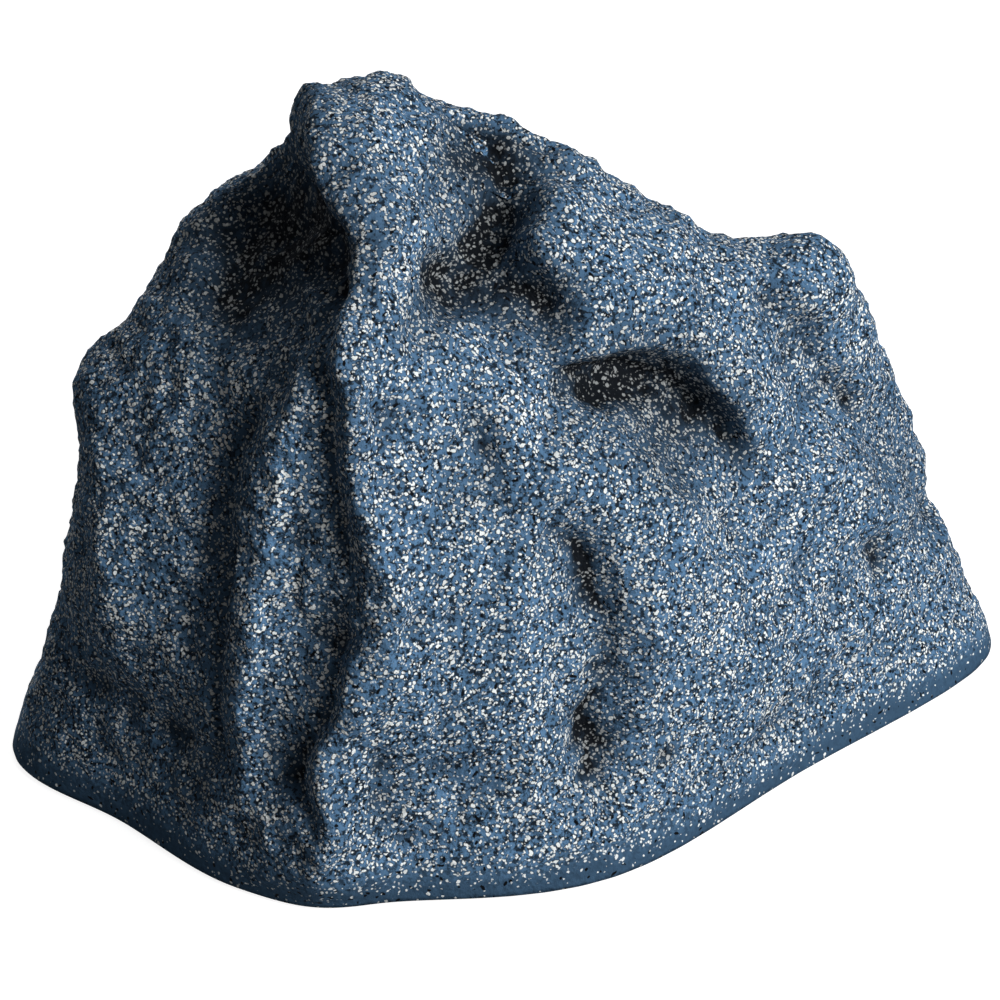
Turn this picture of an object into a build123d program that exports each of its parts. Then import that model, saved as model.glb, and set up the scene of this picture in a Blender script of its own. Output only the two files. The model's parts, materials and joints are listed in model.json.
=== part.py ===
from build123d import *
import math
import os

# Rock shaped garden loudspeaker: a hollow moulded rock on a screwed base, with a
# coaxial driver behind a round grille in its rear face. Millimetres, +Z up.

# Guide points of the moulded rock, counterclockwise from the right corner.
# Each flank runs up over a foot (x, y), a waist, a shoulder and a neck (x, y, z).
FLANKS = {
    "right corner": ((209, 60), (161, 62, 118), (127, 54, 188), (74, 46, 202)),
    "right rear": ((184, 116), (146, 106, 114), (104, 88, 160), (42, 62, 208)),
    "rear right": ((104, 166), (96, 132, 116), (66, 112, 168), (24, 80, 208)),
    "rear": ((-10, 170), (-12, 131, 116), (-20, 106, 198), (-30, 66, 236)),
    "rear left": ((-118, 166), (-114, 132, 116), (-88, 102, 198), (-62, 56, 240)),
    "left rear": ((-168, 92), (-143, 74, 126), (-113, 46, 204), (-80, 34, 239)),
    "left corner": ((-191, -8), (-148, 0, 130), (-122, 6, 206), (-84, 12, 239)),
    "left front": ((-140, -57), (-126, -42, 124), (-102, -24, 212), (-76, -4, 239)),
    "front left": ((-89, -99), (-83, -78, 118), (-72, -40, 222), (-60, -12, 246)),
    "front": ((-30, -104), (-36, -82, 118), (-42, -42, 224), (-44, -12, 248)),
    "front right": ((45, -90), (34, -68, 118), (2, -30, 214), (-16, -6, 242)),
    "right front": ((119, -25), (105, -9, 118), (82, 8, 184), (34, 12, 220)),
}
APEX = (-40, 26, 260)
APEX_RADIUS = 23
APEX_RISE = 7

# Ridges (+) and hollows (-) of the front face: line in front view (x, z), reach, depth.
FOLDS = {
    "main ridge": (
        [(-54, 244), (-44, 218), (-48, 170), (-41, 128), (-37, 94), (-56, 56), (-62, 26)],
        34,
        16,
    ),
    "second ridge": ([(-65, 201), (-79, 167), (-92, 120), (-104, 55)], 28, 7),
    "groove by the ridge": ([(-65, 171), (-69, 117), (-75, 64)], 20, -5),
    "fold valley": ([(-98, 192), (-104, 143), (-113, 92), (-119, 49)], 20, -5),
    "left buttress": ([(-144, 173), (-132, 131), (-136, 81)], 30, 14),
    "left corner groove": ([(-159, 100), (-149, 61)], 24, -3),
    "left hollow": ([(-108, 213), (-79, 223), (-64, 230)], 30, -17),
    "left ledge": ([(-117, 218)], 24, 9),
    "upper hollow": ([(3, 236), (-4, 226)], 22, -11),
    "middle hollow": ([(-17, 222), (12, 204)], 26, -15),
    "knob": ([(21, 221)], 22, 8),
    "knob tail": ([(22, 201), (29, 190)], 20, 5),
    "brow": ([(34, 198), (60, 190), (84, 172), (100, 152)], 24, 7),
    "cave": ([(29, 178), (56, 166), (80, 145)], 25, -13),
    "cave sill": ([(31, 156), (54, 145), (71, 127)], 24, 6),
    "flat by the cave": ([(94, 125)], 30, -9),
    "dent": ([(-6, 157)], 21, -7),
    "front valley": ([(30, 114), (32, 86), (38, 46)], 23, -13),
    "front knee": ([(71, 103), (85, 72), (91, 39)], 30, 7),
    "wedge": ([(-45, 65), (-41, 38)], 18, -6),
    "right groove": ([(115, 164), (149, 123), (181, 80)], 22, -8),
    "right swell": ([(126, 119), (150, 92)], 26, 8),
    "right dent": ([(149, 75)], 22, -6),
    "right foot": ([(118, 60), (151, 44)], 28, 6),
    "hump": ([(119, 192)], 25, 5),
    "toe": ([(-100, 30), (-60, 22), (-10, 24)], 19, 4),
}
FOLD_SHARPNESS = 1.25
FOLD_FADE = (0.25, -0.10)
SKIRT_HEIGHT = 18
SKIRT_SOFT = 7
SKIRT_OUT = 3
WALL = 4.5
FACETS_PER_FLANK = 6
ROWS = (
    *(0, 0.13, 0.25, 0.4, 0.55, 0.7, 0.85, 1, 1.15, 1.3, 1.45),
    *(1.6, 1.75, 1.9, 2.1, 2.3, 2.55, 2.8, 3.1, 3.5, 4),
)

# Foot, base panel and its seal. Insets are taken from the foot line of the rock.
RIM_GAP = 2
FOOT_HEIGHT = 10
FOOT_RADIUS = 13
FOOT_TAPER = 2
FOOT_SEAT_MARGIN = 1.5
FOOT_SEAT_DEPTH = 5
FEET = [(-80, -46), (50, -26), (122, 102), (-104, 104)]
PANEL_THICKNESS = 6
PANEL_MARGIN = 10.5
PANEL_GAP = 1
SEAL_THICKNESS = 2
SEAL_MARGIN = 2
SEAL_WIDTH = 11
LEDGE_THICKNESS = 8
BASE_SCREWS = 10

# Screws: shank radius, head radius, head height.
PANEL_SCREW = (2.0, 4.0, 2.4)
FOOT_SCREW = (1.9, 4.5, 2.6)
DRIVER_SCREW = (2.1, 3.8, 2.6)
BOARD_SCREW = (1.4, 3.0, 2.0)
PANEL_GRIP = 6
FOOT_GRIP = 4.5
DRIVER_GRIP = 9
BOARD_GRIP = 6
PILOT_GAP = 0.05
SHANK_GAP = 0.4
HEAD_GAP = 0.4
CUT_OVER = 1

# Cable inlet in the base panel.
INLET = (40, 112)
INLET_BORE = 3.5
INLET_SLEEVE = 4
INLET_LIP = 3
INLET_LIP_THICKNESS = 2.5

# Speaker recess in the rear face: the axis leans up from level by TILT degrees.
FACE_CENTRE = (-16, 129.6, 120)
TILT = 18.5
RECESS_MARGIN = 5.5
RECESS_WALL = 5
BAFFLE_THICKNESS = 12
CUTOUT_RADIUS = 71

# Grille and its edging.
GRILLE_SHEET = 1.2
GRILLE_ROOM = 1.3
GRILLE_SINK = 7
GRILLE_EDGE_GAP = 1.2
GRILLE_BEND = 4
EDGING_FLOOR = 1.5
EDGING_HEIGHT = 7
EDGING_GAP = 0.1
HOLE_PITCH = 14
HOLE_BRIDGE = 3

# Driver: heights along its axis from the baffle face (0), out is positive.
DRIVER_SEAL = 1
FLANGE_THICKNESS = 2.5
FLANGE_MARGIN = 0.5
FRAME_SHEET = 2
FRAME_GAP = 1
FRAME_SHOULDER = -6
FRAME_WELL_RADIUS = 42
FRAME_BACK = -44
FRAME_HOLE_MARGIN = 2.6
SPIDER_LEDGE = -29
SPIDER_LEDGE_WIDTH = 5
WINDOWS = 6
WINDOW_WIDTH = 32
WINDOW_MARGIN = 3
DRIVER_BOLTS = 4

ROLL_WIDTH = 10
ROLL_HEIGHT = 4
ROLL_SHEET = 1
ROLL_LAND = 5
CONE_TRAVEL = 4
CONE_SHEET = 0.9
CONE_NECK = -20.6
COIL_RADIUS = 13.1
FORMER_SHEET = 0.4
FORMER_END = 0.6
WINDING_SHEET = 0.8
COIL_GAP = 0.5
SPIDER_SHEET = 0.8
SPIDER_WAVE = 1.6
SPIDER_WAVES = 7
SPIDER_COLLAR = 3
TOP_PLATE_THICKNESS = 6
MAGNET_THICKNESS = 16
MAGNET_RADIUS = 46
MAGNET_MARGIN = 7.6
BACK_PLATE_THICKNESS = 6
BACK_PLATE_STEP = 2

STEM_RADIUS = 3
STEM_GAP = 0.1
STEM_HEAD_RADIUS = 6
STEM_HEAD = 3
TWEETER_RADIUS = 16
TWEETER_BACK = -12
TWEETER_DEPTH = 15
TWEETER_WALL = 2.5
TWEETER_FLOOR = 4
TWEETER_GAP = 2.5
TWEETER_MAGNET_HEIGHT = 7
DOME_LAND = 2
DOME_RISE = 3.6
DOME_SHEET = 0.6
RING_WIDTH = 5
RING_THICKNESS = 1.6

TAB_WIDTH = 22
TAB_GAP = 4
TAB_THICKNESS = 3
STRIP_WIDTH = 20
STRIP_THICKNESS = 1.6
STRIP_LENGTH = 17
LUG_WIDTH = 4.5
LUG_THICKNESS = 0.8
LUG_SPACING = 12
LUG_START = 7
LUG_LENGTH = 20

# Crossover on the base panel.
BOARD_CENTRE = (-12, -14)
BOARD_SIZE = (96, 72, 1.6)
BOSS_HEIGHT = 8
BOSS_RADIUS = 4
BOSS_EDGE = 7
COIL_INSET = (22, 34)
COIL_SIZE = (18, 9, 16)
CAPACITOR_INSET = (28, 16)
CAPACITOR_SIZE = (8, 30)
RESISTOR_INSET = (22, 40)
RESISTOR_SIZE = (22, 9, 9)
BLOCK_SIZE = (24, 12, 10)
BLOCK_ENTRY = 5.4
WIRE_RADIUS = 1.1
WIRE_RUN = 14

# Base stack: insets and heights.
PANEL_INSET = WALL + PANEL_MARGIN
SEAL_INSET = PANEL_INSET + SEAL_MARGIN
SCREW_INSET = SEAL_INSET + SEAL_WIDTH / 2
LEDGE_INSET = SEAL_INSET + SEAL_WIDTH + SEAL_MARGIN
PANEL_BOTTOM = FOOT_HEIGHT
PANEL_TOP = PANEL_BOTTOM + PANEL_THICKNESS
LEDGE_BOTTOM = PANEL_TOP + SEAL_THICKNESS
LEDGE_TOP = LEDGE_BOTTOM + LEDGE_THICKNESS
BOARD_BOTTOM = PANEL_TOP + BOSS_HEIGHT
BOARD_TOP = BOARD_BOTTOM + BOARD_SIZE[2]
BOARD_LEFT = BOARD_CENTRE[0] - BOARD_SIZE[0] / 2
BOARD_RIGHT = BOARD_CENTRE[0] + BOARD_SIZE[0] / 2
BOARD_FRONT = BOARD_CENTRE[1] - BOARD_SIZE[1] / 2
BLOCK_FACE = BOARD_CENTRE[1] + BOARD_SIZE[1] / 2
COIL_PLACE = (BOARD_LEFT + COIL_INSET[0], BOARD_FRONT + COIL_INSET[1])
CAPACITOR_PLACE = (BOARD_RIGHT - CAPACITOR_INSET[0], BOARD_FRONT + CAPACITOR_INSET[1])
RESISTOR_PLACE = (BOARD_RIGHT - RESISTOR_INSET[0], BOARD_FRONT + RESISTOR_INSET[1])
INLET_NECK = INLET_BORE + INLET_SLEEVE

# Driver: radii from the cut-out, then heights along the axis.
FRAME_NECK = CUTOUT_RADIUS - FRAME_GAP
ROLL_OUTER = FRAME_NECK - FRAME_SHEET + ROLL_SHEET
ROLL_INNER = ROLL_OUTER - ROLL_WIDTH
BOLT_CIRCLE = ROLL_OUTER + ROLL_LAND + HEAD_GAP + DRIVER_SCREW[1]
DRIVER_RADIUS = BOLT_CIRCLE + DRIVER_SCREW[1] + FLANGE_MARGIN
RECESS_RADIUS = DRIVER_RADIUS + RECESS_MARGIN
POLE_RADIUS = COIL_RADIUS - FORMER_SHEET - COIL_GAP
GAP_RADIUS = COIL_RADIUS + WINDING_SHEET + COIL_GAP
FRAME_BACK_HOLE = GAP_RADIUS + FRAME_HOLE_MARGIN
MAGNET_BORE = GAP_RADIUS + MAGNET_MARGIN
SPIDER_LEDGE_RADIUS = FRAME_WELL_RADIUS + SPIDER_LEDGE_WIDTH
TAB_END = MAGNET_RADIUS + TAB_GAP
TWEETER_WELL = TWEETER_RADIUS - TWEETER_WALL
TWEETER_MAGNET_RADIUS = TWEETER_WELL - TWEETER_GAP
DOME_RADIUS = TWEETER_MAGNET_RADIUS - DOME_LAND
FLANGE_FACE = DRIVER_SEAL + FLANGE_THICKNESS
GRILLE_HEIGHT = FLANGE_FACE + ROLL_HEIGHT + ROLL_SHEET + CONE_TRAVEL + GRILLE_ROOM + GRILLE_SHEET
RECESS_DEPTH = GRILLE_HEIGHT + GRILLE_SINK
GAP_BOTTOM = FRAME_BACK - TOP_PLATE_THICKNESS
GAP_MIDDLE = (FRAME_BACK + GAP_BOTTOM) / 2
WINDING_HALF = TOP_PLATE_THICKNESS / 2 + CONE_TRAVEL
MAGNET_BACK = GAP_BOTTOM - MAGNET_THICKNESS
YOKE_BACK = MAGNET_BACK - BACK_PLATE_THICKNESS
TWEETER_FACE = TWEETER_BACK + TWEETER_DEPTH
TWEETER_SEAT = TWEETER_BACK + TWEETER_FLOOR + TWEETER_MAGNET_HEIGHT
LUG_TIP = FRAME_BACK + TAB_THICKNESS - LUG_START - LUG_LENGTH

AXIS = Vector(0, math.cos(math.radians(TILT)), math.sin(math.radians(TILT)))
DRIVER = Plane(Vector(*FACE_CENTRE) - AXIS * RECESS_DEPTH, x_dir=(-1, 0, 0), z_dir=AXIS).location


def lerp_cubic(a, b, c, d, t):
    """Point on the smooth curve from b to c, with a and d as its neighbours."""
    return (b * 2 + (c - a) * t + (a * 2 - b * 5 + c * 4 - d) * t**2 + (b * 3 - a - c * 3 + d) * t**3) * 0.5


def climb(guide, v):
    """Point at height step v of one flank's guide."""
    ends = [guide[0] * 2 - guide[1], *guide, guide[-1] * 2 - guide[-2]]
    i = min(int(v), len(guide) - 2)
    return lerp_cubic(*ends[i : i + 4], v - i)


def lap(points, u):
    """Point at step u of a closed smooth curve through points."""
    i = int(u)
    return lerp_cubic(*(points[(i + j) % len(points)] for j in (-1, 0, 1, 2)), u - i)


def off_line(point, line):
    """Distance in front view from point to a line of (x, z) points."""
    here = Vector(point.X, point.Z)
    spans = [(Vector(*a), Vector(*b)) for a, b in zip(line, line[1:] or line)]
    gaps = []
    for a, b in spans:
        run = b - a
        t = (here - a).dot(run) / run.dot(run) if run.length else 0
        gaps.append((here - a - run * min(1, max(0, t))).length)
    return min(gaps)


def normals(rows):
    """Outward direction at each point of the rows."""
    result = []
    for k, row in enumerate(rows):
        low = rows[max(k - 1, 0)]
        high = rows[min(k + 1, len(rows) - 1)]
        n = len(row)
        result.append(
            [(row[(i + 1) % n] - row[i - 1]).cross(high[i] - low[i]).normalized() for i in range(n)]
        )
    return result


def rock_rows():
    """Rows of points on the outside of the rock, from the rim up to the apex ring."""
    guides = []
    for foot, waist, shoulder, neck in FLANKS.values():
        bearing = math.atan2(neck[1] - APEX[1], neck[0] - APEX[0])
        ring = Vector(math.cos(bearing), math.sin(bearing)) * APEX_RADIUS + Vector(*APEX)
        guides.append([Vector(*foot, RIM_GAP), Vector(*waist), Vector(*shoulder), Vector(*neck), ring])
    steps = range(len(guides) * FACETS_PER_FLANK)
    rows = []
    for v in ROWS:
        level = [climb(guide, v) for guide in guides]
        rows.append([lap(level, i / FACETS_PER_FLANK) for i in steps])
    shaped = []
    for k, (row, outs) in enumerate(zip(rows, normals(rows))):
        points = []
        for point, out in zip(row, outs):
            front = (FOLD_FADE[0] - out.Y) / (FOLD_FADE[0] - FOLD_FADE[1])
            front = min(1, max(0, front))
            front = front * front * (3 - 2 * front)
            move = SKIRT_OUT / (1 + math.exp((point.Z - SKIRT_HEIGHT) * 4 / SKIRT_SOFT))
            for line, reach, depth in FOLDS.values():
                move += front * depth * max(0, 1 - off_line(point, line) / reach) ** FOLD_SHARPNESS
            way = Vector(out.X, out.Y, out.Z if k else 0).normalized()
            points.append(point + way * move)
        shaped.append(points)
    return shaped


def inset_rows(rows, depth):
    """The rows moved in by depth; the rim row stays level."""
    result = []
    for k, (row, outs) in enumerate(zip(rows, normals(rows))):
        ways = [Vector(out.X, out.Y, out.Z if k else 0).normalized() for out in outs]
        result.append([point - way * depth for point, way in zip(row, ways)])
    return result


def facet(*points):
    return Face(Wire.make_polygon(points))


def skin(rows, rise):
    """Flat facets over the rows, closed by a low cap."""
    faces = []
    n = len(rows[0])
    for low, high in zip(rows, rows[1:]):
        for i in range(n):
            j = (i + 1) % n
            faces.append(facet(low[i], low[j], high[j]))
            faces.append(facet(low[i], high[j], high[i]))
    top = rows[-1]
    tip = sum(top, Vector()) * (1 / n) + Vector(0, 0, rise)
    for i in range(n):
        faces.append(facet(top[i], top[(i + 1) % n], tip))
    return faces


def filled(rows, rise):
    """Solid under a skin of facets, flat below."""
    return Solid(Shell(skin(rows, rise) + [facet(*rows[0])]))


def plan_outline(inset):
    """Closed smooth outline that lies inset from the foot line of the rock."""
    feet = [Vector(*foot) for foot, *_ in FLANKS.values()]
    steps = [i / 2 for i in range(len(feet) * 2)]
    points = []
    for u in steps:
        along = lap(feet, (u + 0.05) % len(feet)) - lap(feet, (u - 0.05) % len(feet))
        inward = Vector(-along.Y, along.X).normalized()
        points.append(lap(feet, u) + inward * inset)
    return Edge.make_spline(points, periodic=True)


def slab(inset, bottom, top):
    outline = Face(Wire([plan_outline(inset)])).moved(Location((0, 0, bottom)))
    return Solid.extrude(outline, Vector(0, 0, top - bottom))


def upright(radius, bottom, top, place=(0, 0)):
    """Cylinder along Z between two heights."""
    disc = Face(Wire.make_circle(radius, Plane((*place, bottom))))
    return Solid.extrude(disc, Vector(0, 0, top - bottom))


def bore(radius, bottom, top, place):
    """Cutter for a hole right through, longer than the wall at both ends."""
    return upright(radius, bottom - CUT_OVER, top + CUT_OVER, place)


def drill(radius, mouth, depth, place):
    """Cutter for a blind hole from its mouth; the sign of depth is its way along Z."""
    over = math.copysign(CUT_OVER, depth)
    return upright(radius, min(mouth - over, mouth + depth), max(mouth - over, mouth + depth), place)


def block(size, place, bottom):
    """Box centred on place with its underside at bottom."""
    return Box(*size, align=(Align.CENTER, Align.CENTER, Align.MIN)).moved(Location((*place, bottom)))


def turned(profile):
    """Solid turned about Z from (radius, height) points; a pair of points is an arc through the first."""
    start = profile[0]
    here = Vector(start[0], 0, start[1])
    edges = []
    for step in [*profile[1:], start]:
        bend = isinstance(step[0], tuple)
        via, end = step if bend else (None, step)
        there = Vector(end[0], 0, end[1])
        if bend:
            edges.append(Edge.make_three_point_arc(here, Vector(via[0], 0, via[1]), there))
        else:
            edges.append(Edge.make_line(here, there))
        here = there
    return Solid.revolve(Face(Wire(edges)), 360, Axis.Z)


def ring(inner, outer, bottom, top):
    return turned([(inner, bottom), (outer, bottom), (outer, top), (inner, top)])


def screw(size, grip, seat, place, up=1):
    """Pan head screw along Z with its head's underside at seat; up is the way the shank goes."""
    shank, head, height = size
    rod = upright(shank, min(seat, seat + up * grip), max(seat, seat + up * grip), place)
    cap = upright(head, min(seat, seat - up * height), max(seat, seat - up * height), place)
    return rod.fuse(cap)


def group(solids):
    return Compound(list(solids))


def around_axis(count, radius, turn=0.5):
    """Places evenly round the driver axis."""
    angles = [2 * math.pi * (i + turn) / count for i in range(count)]
    return [(radius * math.cos(a), radius * math.sin(a)) for a in angles]


SCREW_LINE = plan_outline(SCREW_INSET)
SCREW_PLACES = [tuple(SCREW_LINE @ (i / BASE_SCREWS))[:2] for i in range(BASE_SCREWS)]
BOARD_REACH = (BOARD_SIZE[0] / 2 - BOSS_EDGE, BOARD_SIZE[1] / 2 - BOSS_EDGE)
BOARD_CORNERS = [
    (BOARD_CENTRE[0] + sx * BOARD_REACH[0], BOARD_CENTRE[1] + sy * BOARD_REACH[1])
    for sx in (-1, 1)
    for sy in (-1, 1)
]


def rock_shell():
    """Moulded rock: faceted wall, seat ledge for the base and a flat baffle in a round recess."""
    outer = rock_rows()
    inner = inset_rows(outer, WALL)
    n = len(outer[0])
    rim = []
    for i in range(n):
        j = (i + 1) % n
        rim.append(facet(outer[0][i], outer[0][j], inner[0][j]))
        rim.append(facet(outer[0][i], inner[0][j], inner[0][i]))
    shell = Solid(Shell(skin(outer, APEX_RISE) + skin(inner, APEX_RISE) + rim))
    core = filled(inset_rows(outer, WALL / 2), APEX_RISE)
    opening = slab(LEDGE_INSET, LEDGE_BOTTOM - CUT_OVER, LEDGE_TOP + CUT_OVER)
    ledge = slab(0, LEDGE_BOTTOM, LEDGE_TOP).cut(opening)
    baffle = upright(RECESS_RADIUS + RECESS_WALL, -BAFFLE_THICKNESS, 3 * RECESS_DEPTH).moved(DRIVER)
    shell = shell.fuse(*ledge.intersect(core), *baffle.intersect(core))
    tools = [
        upright(RECESS_RADIUS, 0, 4 * RECESS_DEPTH).moved(DRIVER),
        upright(CUTOUT_RADIUS, -2 * BAFFLE_THICKNESS, RECESS_DEPTH).moved(DRIVER),
    ]
    for place in SCREW_PLACES:
        tools.append(drill(PANEL_SCREW[0] + PILOT_GAP, LEDGE_BOTTOM, PANEL_GRIP, place))
    for place in around_axis(DRIVER_BOLTS, BOLT_CIRCLE):
        tools.append(drill(DRIVER_SCREW[0] + PILOT_GAP, 0, -DRIVER_GRIP, place).moved(DRIVER))
    tools.append(slab(PANEL_INSET - PANEL_GAP, 0, LEDGE_BOTTOM))
    return shell.cut(*tools)


def base_panel():
    """Base panel with bosses for the crossover board, holes for screws and the cable inlet."""
    panel = slab(PANEL_INSET, PANEL_BOTTOM, PANEL_TOP)
    panel = panel.fuse(*(upright(BOSS_RADIUS, PANEL_BOTTOM, BOARD_BOTTOM, place) for place in BOARD_CORNERS))
    tools = [bore(INLET_NECK, PANEL_BOTTOM, PANEL_TOP, INLET)]
    for place in SCREW_PLACES:
        tools.append(bore(PANEL_SCREW[0] + SHANK_GAP, PANEL_BOTTOM, PANEL_TOP, place))
    for place in FEET:
        tools.append(drill(FOOT_SCREW[0] + PILOT_GAP, PANEL_BOTTOM, FOOT_GRIP, place))
    for place in BOARD_CORNERS:
        tools.append(drill(BOARD_SCREW[0] + PILOT_GAP, BOARD_BOTTOM, -BOARD_GRIP, place))
    return panel.cut(*tools)


def base_seal():
    opening = slab(SEAL_INSET + SEAL_WIDTH, PANEL_TOP - CUT_OVER, LEDGE_BOTTOM + CUT_OVER)
    seal = slab(SEAL_INSET, PANEL_TOP, LEDGE_BOTTOM).cut(opening)
    holes = (bore(PANEL_SCREW[0] + SHANK_GAP, PANEL_TOP, LEDGE_BOTTOM, place) for place in SCREW_PLACES)
    return seal.cut(*holes)


def base_screws():
    grip = PANEL_THICKNESS + SEAL_THICKNESS + PANEL_GRIP
    return group(screw(PANEL_SCREW, grip, PANEL_BOTTOM, place) for place in SCREW_PLACES)


def rubber_feet():
    hole = FOOT_SCREW[0] + SHANK_GAP
    seat = FOOT_SCREW[1] + FOOT_SEAT_MARGIN
    foot = turned(
        [
            (hole, FOOT_SEAT_DEPTH),
            (seat, FOOT_SEAT_DEPTH),
            (seat, 0),
            (FOOT_RADIUS - FOOT_TAPER, 0),
            (FOOT_RADIUS, FOOT_HEIGHT),
            (hole, FOOT_HEIGHT),
        ]
    )
    return group(foot.moved(Location((*place, 0))) for place in FEET)


def foot_screws():
    grip = FOOT_HEIGHT - FOOT_SEAT_DEPTH + FOOT_GRIP
    return group(screw(FOOT_SCREW, grip, FOOT_SEAT_DEPTH, place) for place in FEET)


def cable_grommet():
    """Rubber grommet gripped in the base panel."""
    low = PANEL_BOTTOM - INLET_LIP_THICKNESS
    high = PANEL_TOP + INLET_LIP_THICKNESS
    lip = INLET_NECK + INLET_LIP
    edge = lip - INLET_LIP_THICKNESS / 2
    grommet = turned(
        [
            (INLET_BORE, low),
            (edge, low),
            (lip, PANEL_BOTTOM),
            (INLET_NECK, PANEL_BOTTOM),
            (INLET_NECK, PANEL_TOP),
            (lip, PANEL_TOP),
            (edge, high),
            (INLET_BORE, high),
        ]
    )
    return grommet.moved(Location((*INLET, 0)))


def grille():
    """Pressed steel cap with a hexagonal field of openings."""
    outer = RECESS_RADIUS - GRILLE_EDGE_GAP
    inner = outer - GRILLE_SHEET
    under = GRILLE_HEIGHT - GRILLE_SHEET
    bend = GRILLE_BEND
    tight = bend - GRILLE_SHEET
    hook = bend * (1 - math.sqrt(0.5))
    nook = tight * (1 - math.sqrt(0.5))
    cap = turned(
        [
            (0, under),
            (inner - tight, under),
            ((inner - nook, under - nook), (inner, under - tight)),
            (inner, EDGING_FLOOR),
            (outer, EDGING_FLOOR),
            (outer, GRILLE_HEIGHT - bend),
            ((outer - hook, GRILLE_HEIGHT - hook), (outer - bend, GRILLE_HEIGHT)),
            (0, GRILLE_HEIGHT),
        ]
    )
    rings = int((outer - bend - HOLE_PITCH / 2) / HOLE_PITCH)
    cell = RegularPolygon((HOLE_PITCH - HOLE_BRIDGE) / 2, 6, major_radius=False)
    tool = extrude(cell.moved(Location((0, 0, under - CUT_OVER))), amount=GRILLE_SHEET + 2 * CUT_OVER)
    holes = []
    for q in range(-rings, rings + 1):
        for r in range(max(-rings, -q - rings), min(rings, -q + rings) + 1):
            place = (HOLE_PITCH * math.sqrt(0.75) * q, HOLE_PITCH * (r + q / 2))
            holes.append(tool.moved(Location((*place, 0))))
    return cap.cut(*holes).moved(DRIVER)


def grille_edging():
    """Rubber edging between the grille's rim and the recess."""
    rim = RECESS_RADIUS - GRILLE_EDGE_GAP
    profile = [
        (rim - GRILLE_SHEET, 0),
        (RECESS_RADIUS - EDGING_GAP, 0),
        (RECESS_RADIUS - EDGING_GAP, EDGING_HEIGHT),
        (rim + EDGING_GAP, EDGING_HEIGHT),
        (rim + EDGING_GAP, EDGING_FLOOR),
        (rim - GRILLE_SHEET, EDGING_FLOOR),
    ]
    return turned(profile).moved(DRIVER)


def driver_seal():
    seal = ring(CUTOUT_RADIUS, DRIVER_RADIUS, 0, DRIVER_SEAL)
    for place in around_axis(DRIVER_BOLTS, BOLT_CIRCLE):
        seal = seal.cut(bore(DRIVER_SCREW[0] + SHANK_GAP, 0, DRIVER_SEAL, place))
    return seal.moved(DRIVER)


def driver_frame():
    """Pressed frame: flange, spoked basket, spider ledge and back ring with a terminal tab."""
    sheet = FRAME_SHEET
    frame = turned(
        [
            (DRIVER_RADIUS, DRIVER_SEAL),
            (FRAME_NECK, DRIVER_SEAL),
            (FRAME_NECK, FRAME_SHOULDER),
            (SPIDER_LEDGE_RADIUS, SPIDER_LEDGE - sheet),
            (FRAME_WELL_RADIUS, SPIDER_LEDGE - sheet),
            (FRAME_WELL_RADIUS, FRAME_BACK),
            (FRAME_BACK_HOLE, FRAME_BACK),
            (FRAME_BACK_HOLE, FRAME_BACK + sheet),
            (FRAME_WELL_RADIUS - sheet, FRAME_BACK + sheet),
            (FRAME_WELL_RADIUS - sheet, SPIDER_LEDGE),
            (SPIDER_LEDGE_RADIUS - sheet / 2, SPIDER_LEDGE),
            (FRAME_NECK - sheet, FRAME_SHOULDER + sheet / 2),
            (FRAME_NECK - sheet, FLANGE_FACE),
            (DRIVER_RADIUS, FLANGE_FACE),
        ]
    )
    root = (FRAME_BACK_HOLE + FRAME_WELL_RADIUS) / 2
    tab = Box(TAB_WIDTH, TAB_END - root, TAB_THICKNESS, align=(Align.CENTER, Align.MAX, Align.MIN))
    frame = frame.fuse(tab.moved(Location((0, -root, FRAME_BACK))))
    low = SPIDER_LEDGE + WINDOW_MARGIN
    high = FRAME_SHOULDER - WINDOW_MARGIN
    window = Box(DRIVER_RADIUS, WINDOW_WIDTH, high - low, align=(Align.MIN, Align.CENTER, Align.MIN))
    for i in range(WINDOWS):
        frame = frame.cut(window.moved(Location((0, 0, low), (0, 0, 360 * i / WINDOWS))))
    for place in around_axis(DRIVER_BOLTS, BOLT_CIRCLE):
        frame = frame.cut(bore(DRIVER_SCREW[0] + SHANK_GAP, DRIVER_SEAL, FLANGE_FACE, place))
    return frame.moved(DRIVER)


def driver_screws():
    grip = FLANGE_FACE + DRIVER_GRIP
    places = around_axis(DRIVER_BOLTS, BOLT_CIRCLE)
    return group(screw(DRIVER_SCREW, grip, FLANGE_FACE, place, up=-1).moved(DRIVER) for place in places)


def surround():
    """Half roll of rubber between the cone and the frame."""
    middle = (ROLL_INNER + ROLL_OUTER) / 2
    top = FLANGE_FACE + ROLL_SHEET
    profile = [
        (ROLL_INNER - ROLL_LAND, FLANGE_FACE),
        (ROLL_INNER, FLANGE_FACE),
        ((middle, FLANGE_FACE + ROLL_HEIGHT), (ROLL_OUTER, FLANGE_FACE)),
        (ROLL_OUTER + ROLL_LAND, FLANGE_FACE),
        (ROLL_OUTER + ROLL_LAND, top),
        (ROLL_OUTER + ROLL_SHEET / 2, top),
        ((middle, top + ROLL_HEIGHT), (ROLL_INNER - ROLL_SHEET / 2, top)),
        (ROLL_INNER - ROLL_LAND, top),
    ]
    return turned(profile).moved(DRIVER)


def cone():
    """Woofer cone with a flat rim under the surround and a neck round the coil former."""
    land = ROLL_INNER - ROLL_LAND
    rim = FLANGE_FACE - CONE_SHEET
    profile = [
        (ROLL_INNER - ROLL_SHEET, FLANGE_FACE),
        (land, FLANGE_FACE),
        (COIL_RADIUS, CONE_NECK),
        (COIL_RADIUS, CONE_NECK - 1.5 * CONE_SHEET),
        (land + CONE_SHEET, rim),
        (ROLL_INNER - ROLL_SHEET, rim),
    ]
    return turned(profile).moved(DRIVER)


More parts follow.
